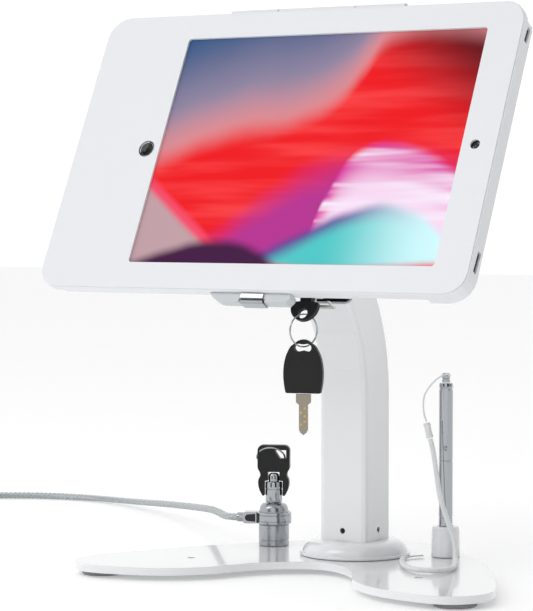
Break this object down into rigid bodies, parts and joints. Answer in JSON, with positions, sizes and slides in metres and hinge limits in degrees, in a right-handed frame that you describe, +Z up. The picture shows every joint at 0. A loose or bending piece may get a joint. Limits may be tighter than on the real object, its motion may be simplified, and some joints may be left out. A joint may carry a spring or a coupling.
{
  "type": "tablet stand",
  "caption": "Locking tablet display stand: heavy base, bent square column, tilting and turning hinged case, keyed locks, steel cable and tethered stylus.",
  "frame": {"origin": "on the table, at the middle of the stand's outline seen from above, cords left out", "axes": "+Z up; the case's window faces -Y; +X is to the right of a person facing the window"},
  "size_m": [0.621, 0.3282, 0.358],
  "materials": {
    "case_paint": "satin powder coat",
    "base_paint": "glossy white enamel",
    "plate_grey": "smooth satin",
    "tether_coil": "smooth",
    "chrome": "mirror chrome",
    "steel": "zinc plated",
    "satin_steel": "satin",
    "dark_steel": "black oxide",
    "nickel": "nickel silver, fine tool marks",
    "foot_rubber": "matte",
    "tip_rubber": "soft matte",
    "key_plastic": "fine texture",
    "button_plastic": "high gloss",
    "display_print": "glossy",
    "foam": "closed-cell foam",
    "nylon": "smooth",
    "steel_cable": "clear coated steel strand",
    "clear_string": "clear nylon"
  },
  "bodies": {
    "base": {"base_plate": "base_paint", "foot_front_left": "foot_rubber", "foot_front_right": "foot_rubber", "foot_rear_left": "foot_rubber", "foot_rear_right": "foot_rubber", "column_collar": "base_paint", "column": "base_paint", "column_plug": "steel", "base_bolt_left": "steel", "base_bolt_right": "steel", "set_screw_front": "dark_steel", "set_screw_side": "dark_steel", "head_block": "dark_steel", "cable_lock_body": "satin_steel", "cable_lock_ring": "chrome", "pen_holder": "base_paint", "security_cable": "steel_cable", "security_cable_coil": "steel_cable", "security_cable_tail": "steel_cable", "cable_ferrule": "nickel", "cable_end_loop": "steel_cable", "tether_sleeve": "tether_coil", "tether_cord": "tether_coil"},
    "tilt_head": {"tilt_bracket": "case_paint", "tilt_bolt": "steel", "tilt_nut": "steel"},
    "case": {"mounting_plate": "case_paint", "swivel_bolt": "steel", "friction_washer": "nylon", "plate_screw_1": "steel", "plate_screw_2": "steel", "plate_screw_3": "steel", "plate_screw_4": "steel", "rear_shell": "case_paint", "foam_pad_left": "foam", "foam_pad_right": "foam", "hinge_pin": "dark_steel", "case_lock_body": "plate_grey"},
    "cover": {"front_cover": "case_paint", "display_card": "display_print", "lock_housing": "plate_grey", "latch_plate": "chrome", "latch_pin": "dark_steel", "lock_lug": "steel"},
    "latch": {"latch_lever": "chrome"},
    "lock_key": {"lock_plug": "chrome", "lock_cam": "steel", "case_key": "key_plastic"},
    "ring": {"key_ring": "chrome"},
    "spare_key": {"spare_key_head": "key_plastic", "spare_key_blade": "nickel"},
    "home_press": {"home_button": "button_plastic"},
    "cable_key_turn": {"cable_lock_core": "steel", "cable_key": "chrome", "cable_key_head": "key_plastic"},
    "stylus": {"stylus_barrel": "chrome", "stylus_cap": "chrome", "stylus_clip": "chrome", "stylus_tip": "tip_rubber", "tether_loop": "clear_string"}
  },
  "joints": [
    {"name": "head_tilt", "type": "hinge", "parent": "base", "child": "tilt_head", "pos_m": [0.0145, -0.00799, 0.19535], "axis": [1, 0, 0], "range_deg": [-35, 15]},
    {"name": "head_rotate", "type": "hinge", "parent": "tilt_head", "child": "case", "pos_m": [0.0145, -0.03136, 0.23217], "axis": [0, -0.8931, 0.4498], "range_deg": [0, 90]},
    {"name": "cover_hinge", "type": "hinge", "parent": "case", "child": "cover", "pos_m": [-0.0045, 0.013, 0.35539], "axis": [-1, 0, 0], "range_deg": [0, 100]},
    {"name": "latch_swing", "type": "hinge", "parent": "cover", "child": "latch", "pos_m": [0.002, -0.07991, 0.17422], "axis": [-1, 0, 0], "range_deg": [0, 80]},
    {"name": "lock_turn", "type": "hinge", "parent": "case", "child": "lock_key", "pos_m": [0.0285, -0.06092, 0.17058], "axis": [0, -0.4498, -0.8931], "range_deg": [0, 90]},
    {"name": "ring_swing", "type": "hinge", "parent": "lock_key", "child": "ring", "pos_m": [0.0285, -0.06294, 0.16656], "axis": [1, 0, 0], "range_deg": [-6, 6]},
    {"name": "spare_key_swing", "type": "hinge", "parent": "ring", "child": "spare_key", "pos_m": [0.0285, -0.06294, 0.14677], "axis": [0.9659, 0.2588, 0], "range_deg": [-12, 12]},
    {"name": "home_button_press", "type": "slide", "parent": "cover", "child": "home_press", "axis": [0, 0.8931, -0.4498], "range_m": [0, 0.0005], "stiffness_N_per_m": 800, "springref_m": -0.0005},
    {"name": "cable_key_turning", "type": "hinge", "parent": "base", "child": "cable_key_turn", "pos_m": [-0.0511, 0.0372, 0.041], "axis": [0, 0, 1], "range_deg": [0, 90]},
    {"name": "stylus_lift", "type": "slide", "parent": "base", "child": "stylus", "axis": [0, 0, 1], "range_m": [0, 0.017]}
  ]
}
